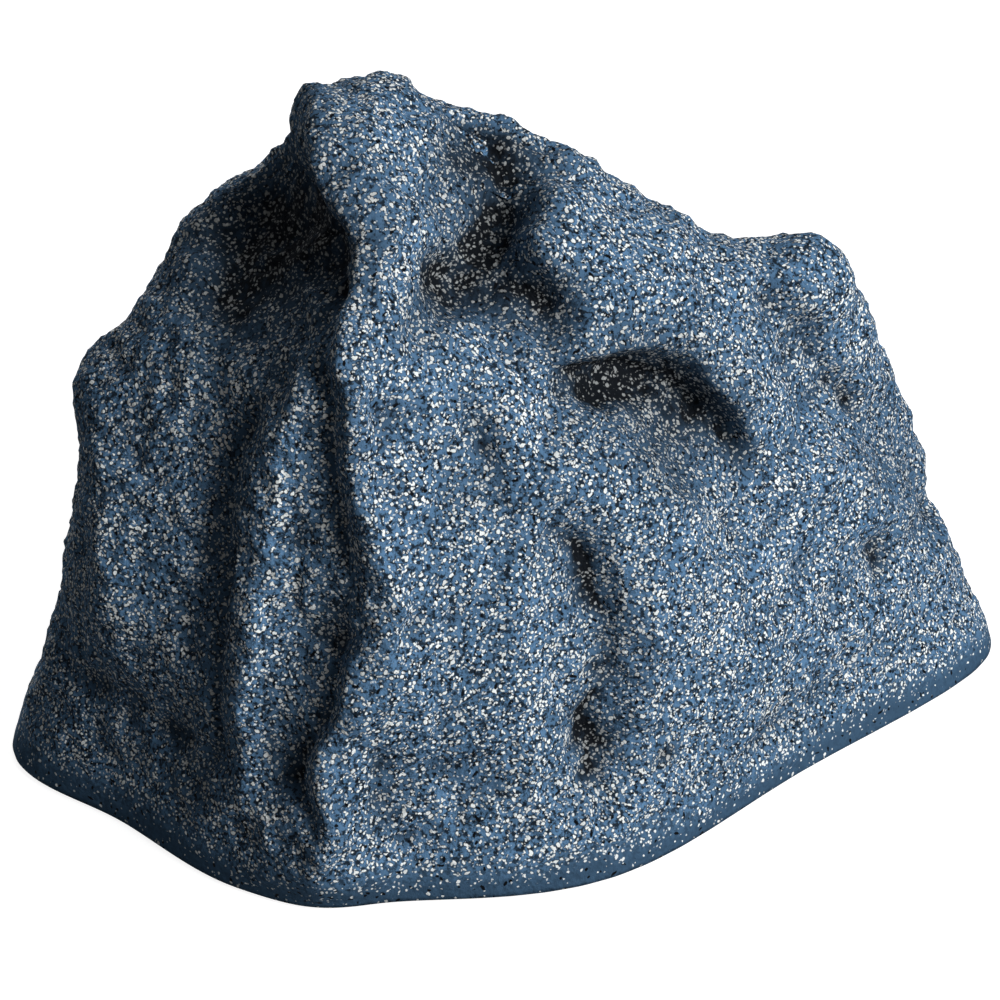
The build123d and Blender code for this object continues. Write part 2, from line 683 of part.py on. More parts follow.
def spider():
    """Corrugated centring disc from the former to the frame's ledge."""
    start = COIL_RADIUS + SPIDER_COLLAR
    stop = FRAME_WELL_RADIUS - 2 * FRAME_SHEET
    low = SPIDER_LEDGE
    wave = [(COIL_RADIUS, low), (start, low)]
    for i in range(1, SPIDER_WAVES):
        side = SPIDER_WAVE if i % 2 else -SPIDER_WAVE
        wave.append((start + (stop - start) * i / SPIDER_WAVES, low + side))
    wave += [(stop, low), (SPIDER_LEDGE_RADIUS - FRAME_SHEET, low)]
    back = [(r, h + SPIDER_SHEET) for r, h in reversed(wave)]
    return turned(wave + back).moved(DRIVER)


def coil_former():
    bottom = GAP_MIDDLE - WINDING_HALF - FORMER_END
    return ring(COIL_RADIUS - FORMER_SHEET, COIL_RADIUS, bottom, CONE_NECK + FORMER_END).moved(DRIVER)


def coil_winding():
    low = GAP_MIDDLE - WINDING_HALF
    return ring(COIL_RADIUS, COIL_RADIUS + WINDING_SHEET, low, low + 2 * WINDING_HALF).moved(DRIVER)


def top_plate():
    return ring(GAP_RADIUS, FRAME_WELL_RADIUS, GAP_BOTTOM, FRAME_BACK).moved(DRIVER)


def magnet():
    return ring(MAGNET_BORE, MAGNET_RADIUS, MAGNET_BACK, GAP_BOTTOM).moved(DRIVER)


def yoke():
    """Back plate and pole of the magnet system, bored for the tweeter stem."""
    bore = STEM_RADIUS + STEM_GAP
    profile = [
        (bore, YOKE_BACK),
        (MAGNET_RADIUS - BACK_PLATE_STEP, YOKE_BACK),
        (MAGNET_RADIUS - BACK_PLATE_STEP, MAGNET_BACK),
        (POLE_RADIUS, MAGNET_BACK),
        (POLE_RADIUS, FRAME_BACK),
        (bore, FRAME_BACK),
    ]
    return turned(profile).moved(DRIVER)


def tweeter_stem():
    profile = [
        (0, YOKE_BACK - STEM_HEAD),
        (STEM_HEAD_RADIUS, YOKE_BACK - STEM_HEAD),
        (STEM_HEAD_RADIUS, YOKE_BACK),
        (STEM_RADIUS, YOKE_BACK),
        (STEM_RADIUS, TWEETER_BACK),
        (0, TWEETER_BACK),
    ]
    return turned(profile).moved(DRIVER)


def tweeter_cup():
    floor = TWEETER_BACK + TWEETER_FLOOR
    profile = [
        (0, TWEETER_BACK),
        (TWEETER_RADIUS, TWEETER_BACK),
        (TWEETER_RADIUS, TWEETER_FACE),
        (TWEETER_WELL, TWEETER_FACE),
        (TWEETER_WELL, floor),
        (0, floor),
    ]
    return turned(profile).moved(DRIVER)


def tweeter_magnet():
    return upright(TWEETER_MAGNET_RADIUS, TWEETER_BACK + TWEETER_FLOOR, TWEETER_SEAT).moved(DRIVER)


def tweeter_ring():
    inner = TWEETER_RADIUS - RING_WIDTH
    return ring(inner, TWEETER_RADIUS, TWEETER_FACE, TWEETER_FACE + RING_THICKNESS).moved(DRIVER)


def dome_middle(radius, rise):
    """Point half way down a round dome, from its rim's level."""
    bend = (radius**2 + rise**2) / (2 * rise)
    half = math.asin(radius / bend) / 2
    return bend * math.sin(half), rise - bend * (1 - math.cos(half))


def tweeter_dome():
    """Soft dome with its rim on the tweeter magnet."""
    seat = TWEETER_SEAT
    base = seat + DOME_SHEET
    inner = DOME_RADIUS - DOME_SHEET
    under = dome_middle(inner, DOME_RISE)
    over = dome_middle(DOME_RADIUS, DOME_RISE)
    profile = [
        (0, seat + DOME_RISE),
        ((under[0], seat + under[1]), (inner, seat)),
        (TWEETER_MAGNET_RADIUS, seat),
        (TWEETER_MAGNET_RADIUS, base),
        (DOME_RADIUS, base),
        ((over[0], base + over[1]), (0, base + DOME_RISE)),
    ]
    return turned(profile).moved(DRIVER)


def terminal_strip():
    strip = Box(STRIP_WIDTH, STRIP_THICKNESS, STRIP_LENGTH, align=(Align.CENTER, Align.MAX, Align.MAX))
    return strip.moved(Location((0, -TAB_END, FRAME_BACK + TAB_THICKNESS))).moved(DRIVER)


def terminal_lugs():
    lug = Box(LUG_WIDTH, LUG_THICKNESS, LUG_LENGTH, align=(Align.CENTER, Align.MAX, Align.MIN))
    sides = (-LUG_SPACING / 2, LUG_SPACING / 2)
    return group(lug.moved(Location((x, -TAB_END - STRIP_THICKNESS, LUG_TIP))).moved(DRIVER) for x in sides)


def crossover_board():
    board = block(BOARD_SIZE, BOARD_CENTRE, BOARD_BOTTOM)
    holes = (bore(BOARD_SCREW[0] + SHANK_GAP, BOARD_BOTTOM, BOARD_TOP, place) for place in BOARD_CORNERS)
    return board.cut(*holes)


def board_screws():
    grip = BOARD_SIZE[2] + BOARD_GRIP
    return group(screw(BOARD_SCREW, grip, BOARD_TOP, place, up=-1) for place in BOARD_CORNERS)


def choke_coil():
    outer, inner, height = COIL_SIZE
    return ring(inner, outer, BOARD_TOP, BOARD_TOP + height).moved(Location((*COIL_PLACE, 0)))


def capacitor():
    radius, length = CAPACITOR_SIZE
    lying = Cylinder(radius, length, rotation=(0, 90, 0))
    return lying.moved(Location((*CAPACITOR_PLACE, BOARD_TOP + radius)))


def resistor():
    return block(RESISTOR_SIZE, RESISTOR_PLACE, BOARD_TOP)


def terminal_block():
    place = (BOARD_CENTRE[0], BLOCK_FACE - BLOCK_SIZE[1] / 2)
    return block(BLOCK_SIZE, place, BOARD_TOP)


def wire(side):
    """Lead from a driver lug to the terminal block, in straight runs joined by wide arcs."""
    drop = TAB_END + STRIP_THICKNESS + LUG_THICKNESS / 2
    tip = (DRIVER * Location((side * LUG_SPACING / 2, -drop, LUG_TIP))).position
    leave = tip - AXIS * WIRE_RUN
    entry = Vector(tip.X, BLOCK_FACE, BOARD_TOP + BLOCK_ENTRY)
    arrive = entry + Vector(0, WIRE_RUN, 0)
    points = [tip, leave, arrive, entry]
    radii = []
    for a, b, c in zip(points, points[1:], points[2:]):
        turn = math.radians((b - a).get_angle(c - b))
        radii.append(0.45 * min((b - a).length, (c - b).length) / math.tan(turn / 2))
    print("wire radii", [round(r, 1) for r in radii])
    path = FilletPolyline(*points, radius=radii)
    return sweep(Plane(tip, z_dir=-AXIS) * Circle(WIRE_RADIUS), path=path)


NODES = {
    "rock_shell": rock_shell,
    "base_panel": base_panel,
    "base_seal": base_seal,
    "base_screws": base_screws,
    "rubber_feet": rubber_feet,
    "foot_screws": foot_screws,
    "cable_grommet": cable_grommet,
    "grille": grille,
    "grille_edging": grille_edging,
    "driver_seal": driver_seal,
    "driver_frame": driver_frame,
    "driver_screws": driver_screws,
    "surround": surround,
    "cone": cone,
    "spider": spider,
    "coil_former": coil_former,
    "coil_winding": coil_winding,
    "top_plate": top_plate,
    "magnet": magnet,
    "yoke": yoke,
    "terminal_strip": terminal_strip,
    "terminal_lugs": terminal_lugs,
    "tweeter_stem": tweeter_stem,
    "tweeter_cup": tweeter_cup,
    "tweeter_magnet": tweeter_magnet,
    "tweeter_dome": tweeter_dome,
    "tweeter_ring": tweeter_ring,
    "crossover_board": crossover_board,
    "board_screws": board_screws,
    "choke_coil": choke_coil,
    "capacitor": capacitor,
    "resistor": resistor,
    "terminal_block": terminal_block,
    "wire_positive": lambda: wire(1),
    "wire_negative": lambda: wire(-1),
}


def main():
    os.makedirs("parts", exist_ok=True)
    rows = rock_rows()
    xs = [point.X for row in rows for point in row]
    ys = [point.Y for row in rows for point in row]
    centre = Location((-(min(xs) + max(xs)) / 2, -(min(ys) + max(ys)) / 2, 0))
    for name, make in NODES.items():
        export_step(make().moved(centre), f"parts/{name}.step")


main()
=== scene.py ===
"""Looks and studio of a garden loudspeaker moulded as a flecked boulder."""

import json
import math

import bmesh
import bpy
import numpy as np
from bpy.props import FloatProperty, FloatVectorProperty, IntProperty, PointerProperty
from bpy.types import Operator, Panel, PropertyGroup
from mathutils import Matrix, Vector, kdtree, noise


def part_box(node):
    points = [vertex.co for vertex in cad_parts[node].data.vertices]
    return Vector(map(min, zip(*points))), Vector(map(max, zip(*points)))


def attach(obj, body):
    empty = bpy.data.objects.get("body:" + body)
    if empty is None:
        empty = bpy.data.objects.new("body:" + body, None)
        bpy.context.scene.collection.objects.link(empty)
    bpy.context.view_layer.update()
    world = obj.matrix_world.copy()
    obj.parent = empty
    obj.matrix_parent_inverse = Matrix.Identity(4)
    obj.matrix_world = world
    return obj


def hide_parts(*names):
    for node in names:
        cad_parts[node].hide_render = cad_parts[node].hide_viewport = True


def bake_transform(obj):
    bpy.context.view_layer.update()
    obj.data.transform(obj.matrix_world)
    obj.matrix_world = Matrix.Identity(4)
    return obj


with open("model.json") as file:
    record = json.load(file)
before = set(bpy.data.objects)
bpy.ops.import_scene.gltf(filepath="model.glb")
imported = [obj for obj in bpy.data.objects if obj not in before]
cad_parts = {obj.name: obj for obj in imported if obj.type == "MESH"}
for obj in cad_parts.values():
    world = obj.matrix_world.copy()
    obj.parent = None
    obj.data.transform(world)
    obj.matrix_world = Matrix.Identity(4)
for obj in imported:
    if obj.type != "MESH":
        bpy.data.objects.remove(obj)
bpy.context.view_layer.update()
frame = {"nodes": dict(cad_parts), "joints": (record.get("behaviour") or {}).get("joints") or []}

bl_info = {
    "name": "Flecked boulder speaker",
    "version": (1, 0, 0),
    "blender": (4, 5, 0),
    "location": "3D View > Sidebar > Boulder",
    "description": "Dresses the moulded boulder, its grille and fittings, and sets up the studio",
    "category": "Object",
}

BODY, MOVING = "enclosure", "diaphragm"

# The driver's axis and the middle of its baffle face, which the recess and the grille share.
AXIS = Vector(frame["joints"][0]["axis"]).normalized()
SEAL_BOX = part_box("driver_seal")
SEAL_HALF = 0.0005
BAFFLE = (SEAL_BOX[0] + SEAL_BOX[1]) / 2 - AXIS * SEAL_HALF
RECESS_RADIUS = 0.088
RECESS_DEPTH = 0.002

# Sectors of the rings that give with the cone, and the angle that keeps their edges sharp.
SECTORS = 16
SHARP = math.radians(35)

# Steps in the bend of the grille's rim.
BEND_STEPS = 4

# Points nearer than MERGE are one point, and points lower than FOOT_SLACK above the foot lie on it.
MERGE = 2e-6
FOOT_SLACK = 2e-5
# What a length may be off by, and a point from a plane that cuts.
HAIR, CUT_SLACK = 1e-6, 1e-7
MM = 0.001

# Kinds of face on the shell: its outer skin, and the inside of its front wall.
SKIN, BEHIND = 1, 2
# The inside of the front wall: its least turn to the back, its rear end, its foot and its longest edge.
BEHIND_TURN, BEHIND_REAR, BEHIND_FOOT, BEHIND_GRAIN = 0.1, 0.02, 0.03, 0.006

# The creases' lines are bent by noise: its seed, its scale and how far it moves a point.
BEND_SEED, BEND_SCALE, BEND_REACH = 5, 34, 0.0075
# Creases get shallower towards the foot: from what height, over what height, and to what share.
CREASE_FOOT, CREASE_FADE, CREASE_LEAST = 0.020, 0.030, 0.3
# How deep a crease is towards its edge, and how the painted shade in it thins out: its level in the middle
# and its slope.
CREASE_POWER, PAINTED_SHADE_LEVEL, PAINTED_SHADE_SLOPE = 1.3, 1.1, 0.8
# The turn to the back at which creases and swells end, and the span over which they do.
CREASE_TURN, SWELL_TURN, TURN_SPAN = 0.25, 0.75, 0.35
# The height over which the roughness grows above the skirt.
SKIRT_FADE = 0.012
# How much wider the inside of the wall follows a crease.
BEHIND_WIDEN = 1.4
# Scales of the noise on the skin.
SWELL_SCALE, HEWN_SCALE, WRINKLE_SCALE = 26, 52, 150
# Passes that find a point's surroundings, the depth below them that is darkest, and the most that it darkens:
# painted shade in the recesses of the skin.
SUNK_PASSES, SUNK_DEPTH, SUNK_PAINTED_SHADE = 40, 0.0045, 0.9

# Edges and hollows of the front wall: a line of (x, z), its reach and how far it stands out, in millimetres,
# and how dark the painted shade is that lies in it.
CREASES = {
    "ridge crest": (
        [
            (-73, 265), (-61, 242), (-58, 210), (-57, 164), (-51, 137),
            (-47, 120), (-60, 90), (-73, 47), (-75, 25),
        ],
        8, 5, 0,
    ),
    "left hollow": ([(-106, 212), (-92, 222), (-76, 236)], 28, -13, 1.0),
    "hollow wall": ([(-68, 238), (-66, 226)], 12, -5, 1.0),
    "ledge lip": ([(-118, 220), (-105, 234), (-90, 250)], 9, 3, 0),
    "ridge groove": ([(-66, 219), (-66, 180), (-65, 153), (-64, 129), (-71, 101)], 12, -5, 0.5),
    "fold valley": ([(-78, 206), (-95, 188), (-105, 144), (-109, 123), (-116, 70), (-122, 34)], 14, -7, 0.55),
    "second ridge": ([(-80, 196), (-82, 166), (-89, 126), (-97, 82), (-102, 44)], 9, 2.5, 0),
    "wedge": ([(-60, 105), (-71, 82), (-79, 57), (-81, 29)], 14, -5, 0.45),
    "upper hollow": ([(-16, 246), (-5, 237), (-9, 230)], 19, -11, 0.95),
    "middle hollow": ([(-22, 213), (-8, 213), (4, 208), (10, 202)], 15, -10, 0.95),
    "knob crest": ([(7, 224), (14, 212)], 9, 5, 0),
    "brow lip": ([(14, 191), (29, 190), (48, 184), (67, 173), (82, 157), (88, 143)], 8, 5, 0),
    "cave": ([(36, 174), (54, 163), (69, 150)], 22, -11, 1.0),
    "cave ends": ([(20, 181), (40, 173), (69, 151), (82, 133)], 12, -5, 0.85),
    "sill lip": ([(22, 163), (38, 156), (49, 148), (58, 136), (65, 125)], 8, 3, 0),
    "dent": ([(-16, 176), (-13, 157)], 10, -4, 0.4),
    "front valley": ([(14, 135), (25, 116), (33, 98), (35, 79), (30, 59), (28, 41)], 15, -6.5, 0.40),
    "valley rim": ([(42, 102), (49, 81), (45, 62)], 9, 3, 0),
    "pit": ([(53, 41)], 6, -5, 0.9),
    "right dents": ([(140, 72), (146, 64)], 7, -4, 0.6),
    "right groove": ([(91, 184), (118, 151), (137, 120), (158, 85), (175, 62)], 10, -4, 0.35),
    "foot step": ([(15, 12), (45, 18), (68, 21), (93, 20), (124, 15), (156, 9)], 6, -2, 0.2),
    "foot lump": ([(20, 14), (30, 19)], 6, 3, 0),
    "side lump": ([(92, 8)], 7, 4, 0),
}

# Swells that also turn over the outline, with the same measures and no painted shade.
SWELLS = {
    "apex": ([(-72, 266), (-62, 268), (-51, 268)], 22, 4),
    "top slope": ([(-4, 247), (8, 240), (22, 231), (38, 221), (53, 211)], 26, 6.5),
    "hump": ([(88, 198), (104, 196), (114, 188)], 22, 2),
    "right side": ([(118, 182), (128, 162), (138, 140), (149, 112), (160, 88)], 26, 6),
    "left side": ([(-158, 159), (-158, 140), (-160, 115), (-170, 85)], 24, 4),
    "ledge": ([(-124, 215), (-114, 224)], 14, 3.5),
}

# Layers of pale chips: spacing, shares of the set length and width, how many, and a shift that parts them.
WIDE = (0.0027, 1.0, 1.0, 0.40, (0, 0, 0))
MIDDLING = (0.0018, 0.70, 0.70, 0.80, (0.317, 0.191, 0.423))
FINE = (0.0013, 0.50, 0.50, 0.75, (0.731, 0.553, 0.149))
# Scale of a wave texture whose bands are one unit apart.
WAVE_SCALE = 0.314
# What puts a cell without a chip out of reach.
FAR = 9
# The black ticks: spacing, half length, half width, share and shift.
TICKS = (0.0036, 0.0017, 0.0006, 0.55, (0.173, 0.877, 0.611))

# Lamps: the setting for the level, size, distance and the way to the lamp.
LAMPS = {
    "key_lamp": ("key", 0.9, 1.7, (0.70, -0.58, 0.44)),
    "front_lamp": ("fill", 1.6, 2.0, (-0.60, -0.62, 0.60)),
    "rear_lamp": ("rear", 1.6, 2.0, (-0.15, 0.86, 0.50)),
}
# The floor's half width, its own shade and glow as the camera sees it, and the background's level.
FLOOR_SIZE, FLOOR_SHADE, FLOOR_GLOW, BACKGROUND = 6, 0.50, 0.88, 0.91
SENSOR_WIDTH = 36
CAMERA_SHIFT = (-0.003, -0.015)


def colour(name, default, description):
    """A colour that a user may change."""
    return FloatVectorProperty(
        name=name, description=description, subtype="COLOR", size=3, min=0, max=1, default=default
    )


def length(name, default, description):
    """A length in metres that a user may change."""
    return FloatProperty(name=name, description=description, unit="LENGTH", precision=5, default=default)


class BoulderShellLook(PropertyGroup):
    """Sizes and colours of the moulded shell."""

    grain: length("Grain", 0.0032, "Longest edge on the rounded skin")
    rounding: IntProperty(name="Rounding", description="Passes that round the facets", default=5, min=0)
    stand: length("Stand", 0.0015, "What rounding takes off the skin, given back")
    swell: length("Swell", 0.0016, "Height of the broad swells between the folds")
    hewn: length("Hewn", 0.0017, "Height of the hewn lumps")
    wrinkle: length("Wrinkle", 0.0014, "Height of the cast wrinkles")
    rim_fade: length("Rim fade", 0.012, "Width in which the relief dies out at the recess and the foot")
    slate: colour("Slate", (0.128, 0.262, 0.445), "Coat of the boulder")
    # Deep slate also colours the painted shade in the creases and hollows.
    deep: colour("Deep slate", (0.008, 0.010, 0.013), "Coat in its dark streaks")
    chip: colour("Chip", (0.93, 0.97, 0.97), "Pale oval chips")
    tick: colour("Tick", (0.005, 0.006, 0.008), "Small black ticks")
    chip_length: length("Chip length", 0.00118, "Half the length of a pale chip")
    chip_width: length("Chip width", 0.00070, "Half the width of a pale chip")
    skirt: length("Skirt", 0.015, "Height of the plain band at the foot")


class BoulderGrilleLook(PropertyGroup):
    """Sizes and colours of the grille."""

    pitch: length("Pitch", 0.0042, "Distance between two openings")
    bridge: length("Bridge", 0.0013, "Metal left between two openings")
    radius: length("Radius", 0.0868, "Outside of the grille's rim")
    sheet: length("Sheet", 0.0012, "Thickness of the sheet")
    bend: length("Bend", 0.004, "Outer radius of the rim's bend")
    top: length("Top", 0.015, "Face of the grille above the baffle")
    foot: length("Foot", 0.0015, "Lower edge of the rim above the baffle")
    coat: colour("Coat", (0.030, 0.034, 0.040), "Powder coat")


class BoulderFittingsLook(PropertyGroup):
    """Colours of the base, the driver and the crossover."""

    panel: colour("Panel", (0.022, 0.024, 0.027), "Moulded base panel and housings")
    rubber: colour("Rubber", (0.014, 0.014, 0.015), "Feet, seals, edging and roll")
    steel: colour("Steel", (0.52, 0.52, 0.50), "Zinc plated steel")
    copper: colour("Copper", (0.60, 0.25, 0.12), "Enamelled wire")
    cloth: colour("Cloth", (0.42, 0.30, 0.14), "Treated cloth of the spider")
    board: colour("Board", (0.20, 0.105, 0.045), "Pressed board of the crossover")


class BoulderStudioLook(PropertyGroup):
    """Camera, light and floor."""

    lens: FloatProperty(name="Lens", description="Focal length in millimetres", default=88.2)
    distance: length("Distance", 0.950, "Camera to the point it looks at")
    elevation: FloatProperty(
        name="Elevation", description="Camera above the horizon", subtype="ANGLE", default=math.radians(29)
    )
    target: FloatVectorProperty(
        name="Target",
        description="Point that the camera looks at",
        unit="LENGTH",
        default=(-0.0061745, -0.0191512, 0.112),
    )
    key: FloatProperty(name="Key", description="Level of the main lamp on a face turned to it", default=1.10)
    fill: FloatProperty(name="Fill", description="Level of the soft lamp at the front", default=0.035)
    rear: FloatProperty(name="Rear", description="Level of the soft lamp behind", default=0.50)
    sky: FloatProperty(name="Sky", description="Level of the light from all round", default=0.035)
    floor: colour("Floor", (0.14, 0.14, 0.14), "Floor, as it lights the boulder")


class BoulderLook(PropertyGroup):
    """Everything that can be set on the boulder."""

    shell: PointerProperty(type=BoulderShellLook)
    grille: PointerProperty(type=BoulderGrilleLook)
    fittings: PointerProperty(type=BoulderFittingsLook)
    studio: PointerProperty(type=BoulderStudioLook)


class Field:
    """A value over the surface: a node's output that Python operators combine."""

    def __init__(self, finish, socket):
        self.finish = finish
        self.socket = socket

    def out(self, name):
        """Another output of the same node."""
        return Field(self.finish, self.socket.node.outputs[name])

    def calc(self, operation, *values):
        """A Math node on values or fields."""
        return self.finish.node("ShaderNodeMath", {"operation": operation}, dict(enumerate(values)))

    def __add__(self, other):
        return self.calc("ADD", self, other)

    def __radd__(self, other):
        return self.calc("ADD", other, self)

    def __sub__(self, other):
        return self.calc("SUBTRACT", self, other)

    def __rsub__(self, other):
        return self.calc("SUBTRACT", other, self)

    def __mul__(self, other):
        return self.calc("MULTIPLY", self, other)

    def __rmul__(self, other):
        return self.calc("MULTIPLY", other, self)

    def __mod__(self, other):
        return self.calc("FLOORED_MODULO", self, other)

    def __gt__(self, other):
        return self.calc("GREATER_THAN", self, other)

    def lesser(self, other):
        """The smaller of two values."""
        return self.calc("MINIMUM", self, other)

    def greater(self, other):
        """The larger of two values."""
        return self.calc("MAXIMUM", self, other)

    def held(self):
        """The value kept between 0 and 1."""
        return self.finish.node("ShaderNodeClamp", None, {"Value": self})

    def rise(self, low, high):
        """0 below low, 1 above high, straight between."""
        return ((self - low) * (1 / (high - low))).held()


class Finish:
    """The node tree of a material or of the world."""

    def __init__(self, owner):
        owner.use_nodes = True
        self.owner = owner
        self.tree = owner.node_tree

    def node(self, kind, settings=None, sockets=None):
        """Adds a node: its settings first, then the values or links of its sockets."""
        made = self.tree.nodes.new(kind)
        for name, value in (settings or {}).items():
            setattr(made, name, value)
        for name, value in (sockets or {}).items():
            self.feed(made, name, value)
        return Field(self, next((s for s in made.outputs if s.enabled), None))

    def feed(self, node, name, value):
        """Links or sets one input of a node."""
        pins = [s for s in node.inputs if s.enabled]
        pin = pins[name] if isinstance(name, int) else next(s for s in pins if s.name == name)
        if isinstance(value, Field):
            self.tree.links.new(value.socket, pin)
        else:
            pin.default_value = value

    def coat(self, **sockets):
        """Sets the inputs of the material's surface; an underscore stands for a space."""
        shader = self.tree.nodes["Principled BSDF"]
        for name, value in sockets.items():
            self.feed(shader, name.replace("_", " "), value)
        return self.owner

    def place(self):
        """Position in the object."""
        return self.node("ShaderNodeTexCoord").out("Object")

    def vector(self, operation, *values):
        """A Vector Math node."""
        return self.node("ShaderNodeVectorMath", {"operation": operation}, dict(enumerate(values)))

    def mottle(self, place, scale, detail, roughness):
        """Soft noise between 0 and 1."""
        return self.node(
            "ShaderNodeTexNoise",
            None,
            {"Vector": place, "Scale": scale, "Detail": detail, "Roughness": roughness},
        )

    def blend(self, mask, a, b):
        """Colour a where the mask is 0 and b where it is 1."""
        return self.node("ShaderNodeMix", {"data_type": "RGBA"}, {"Factor": mask, "A": a, "B": b})

    def bump(self, height, distance, strength):
        """A normal that follows a height of 0 to 1."""
        return self.node(
            "ShaderNodeBump", None, {"Height": height, "Distance": distance, "Strength": strength}
        )


def solid(shade, level=1.0):
    """A colour with its alpha, made lighter or darker."""
    return (*(min(1.0, c * level) for c in shade), 1.0)


def new_finish(name):
    """An empty material."""
    return Finish(bpy.data.materials.new(name))


def dress(node, material):
    """Gives a frame piece a finish."""
    slots = frame["nodes"][node].data.materials
    slots.clear()
    slots.append(material)


def keep(name, bm, material, slot, *nodes, smooth=True, across=None):
    """Turns a bmesh into a piece that stands for nodes. It rides on the enclosure, or, as a sector of a ring,
    stays unattached with its edges kept sharp.
    """
    mesh = bpy.data.meshes.new(name)
    bm.to_mesh(mesh)
    bm.free()
    stale = mesh.attributes.get("custom_normal")
    if stale:
        mesh.attributes.remove(stale)
    mesh.shade_smooth() if smooth else mesh.shade_flat()
    mesh.materials.append(material)
    piece = bpy.data.objects.new(name, mesh)
    bpy.context.scene.collection.objects.link(piece)
    if across:
        mesh.set_sharp_from_angle(angle=SHARP)
        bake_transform(piece)
    else:
        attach(piece, BODY)
    if nodes:
        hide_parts(*nodes)
    return piece


def chips(finish, place, spacing, half_length, half_width, share, shift):
    """Oval chips cast through the coat: how near a point is to a chip, 1 at its outline, and less inside."""
    place = finish.vector("ADD", place, shift)
    cell = finish.node(
        "ShaderNodeTexVoronoi",
        {"feature": "F1"},
        {"Vector": place, "Scale": 1 / spacing, "Randomness": 1.0},
    )
    away = finish.vector("SUBTRACT", place, cell.out("Position"))
    lean = finish.vector("NORMALIZE", finish.vector("SUBTRACT", cell.out("Color"), (0.5, 0.5, 0.5)))
    along = finish.vector("DOT_PRODUCT", away, lean).out("Value")
    reach = finish.vector("DOT_PRODUCT", away, away).out("Value")
    oval = along * along * (half_length**-2 - half_width**-2) + reach * half_width**-2
    draw = finish.vector("DOT_PRODUCT", cell.out("Color"), (17.3, 9.7, 5.1)).out("Value") % 1.0
    return oval + (draw > share) * FAR


def pale_chips(finish, place, look, layer, crowd):
    """One layer of the boulder's pale chips."""
    spacing, long, wide, share, shift = layer
    return chips(
        finish, place, spacing, look.chip_length * long, look.chip_width * wide, crowd * share, shift
    )


def boulder_coat(look):
    """Slate coat, rough as cast stone, with pale oval chips and black ticks in it, and painted shade in its
    creases and hollows.
    """
    finish = new_finish("boulder_coat")
    place = finish.place()
    height = finish.node("ShaderNodeSeparateXYZ", None, {"Vector": place}).out("Z")
    # The plain skirt ends in a wavering line, and above it the chips lie in patches.
    drift = finish.mottle(place, 26, 3, 0.6)
    above = (height + drift * 0.016).rise(look.skirt, look.skirt + 0.014)
    patch = finish.mottle(place, 48, 3, 0.6).rise(0.34, 0.60)
    crowd = above * (0.34 + 0.46 * patch) + 0.13
    # Chips and ticks on bent coordinates, which make them ragged.
    ragged = finish.mottle(place, 900, 2, 0.6).out("Color")
    bent = finish.vector("MULTIPLY_ADD", ragged, (0.0010, 0.0010, 0.0010), place)
    wide = pale_chips(finish, bent, look, WIDE, crowd)
    middling = pale_chips(finish, bent, look, MIDDLING, crowd)
    fine = pale_chips(finish, bent, look, FINE, crowd)
    tick = 1 - chips(finish, bent, *TICKS).rise(0.8, 1.2)
    nearest = wide.lesser(middling)
    white = 1 - nearest.rise(0.85, 1.15)
    pale = 1 - fine.rise(0.7, 1.3)
    margin = 1 - nearest.rise(1.35, 2.1)
    # The ground: streaks, the chips' dark margins, broad clouds and the painted shade in the hollows.
    streak = finish.mottle(place, 520, 3, 0.65).rise(0.45, 0.58)
    broad = finish.mottle(place, 55, 4, 0.6)
    # Painted shade: an attribute of the mesh darkens the coat in its creases and recesses, where shade falls.
    painted_shade = finish.node("ShaderNodeAttribute", {"attribute_name": "painted_shade"}).out("Fac")
    painted_shade_spread = (painted_shade * (0.70 + 0.9 * finish.mottle(place, 90, 4, 0.65))).held()
    dark = (streak * 0.93).greater(margin) * (0.20 + above * 0.80)
    # The dark mask takes the painted shade as well as the streaks and margins.
    dark = dark.greater(painted_shade_spread)
    shade = finish.blend(broad.rise(0.30, 0.70) * 0.55, solid(look.slate), solid(look.slate, 0.45))
    shade = finish.blend(0.85 - 0.85 * above, shade, solid(look.slate, 0.31))
    shade = finish.blend(dark, shade, solid(look.deep))
    shade = finish.blend(tick, shade, solid(look.tick))
    # In the painted shade the chips are dimmed too.
    shade = finish.blend(pale * (0.80 - 0.6 * painted_shade_spread), shade, solid(look.chip, 0.85))
    shade = finish.blend(white * (1 - 0.7 * painted_shade_spread), shade, solid(look.chip))
    # Relief that is too fine for the mesh.
    grit = finish.mottle(place, 420, 3, 0.65)
    crust = finish.mottle(place, 110, 5, 0.6)
    relief = grit * (0.15 + height.rise(look.skirt, look.skirt + 0.010) * 0.35) + crust * 0.60
    return finish.coat(
        Base_Color=shade,
        Roughness=0.62 + 0.25 * broad,
        Specular_IOR_Level=0.20,
        IOR=1.12,
        Normal=finish.bump(relief, 0.0030, 0.9),
    )


def moulded(name, shade, grain, roughness, bump):
    """Moulded plastic or rubber with a fine spark grain and a slight drift of shade."""
    finish = new_finish(name)
    place = finish.place()
    spark = finish.mottle(place, grain, 3, 0.6)
    drift = finish.mottle(place, 40, 3, 0.6)
    return finish.coat(
        Base_Color=finish.blend(drift, solid(shade, 0.75), solid(shade, 1.35)),
        Roughness=roughness - 0.12 + 0.24 * spark,
        Normal=finish.bump(spark, bump, 0.8),
    )


def plated(name, shade, roughness=0.30):
    """Plated metal with fine handling marks."""
    finish = new_finish(name)
    place = finish.place()
    cloud = finish.mottle(place, 260, 4, 0.65)
    rub = finish.mottle(finish.vector("MULTIPLY", place, (1.0, 1.0, 9.0)), 700, 2, 0.5)
    return finish.coat(
        Base_Color=finish.blend(cloud, solid(shade, 0.78), solid(shade, 1.12)),
        Metallic=1.0,
        Roughness=roughness - 0.10 + 0.20 * cloud + 0.08 * rub,
        Normal=finish.bump(rub, 0.00004, 0.6),
    )


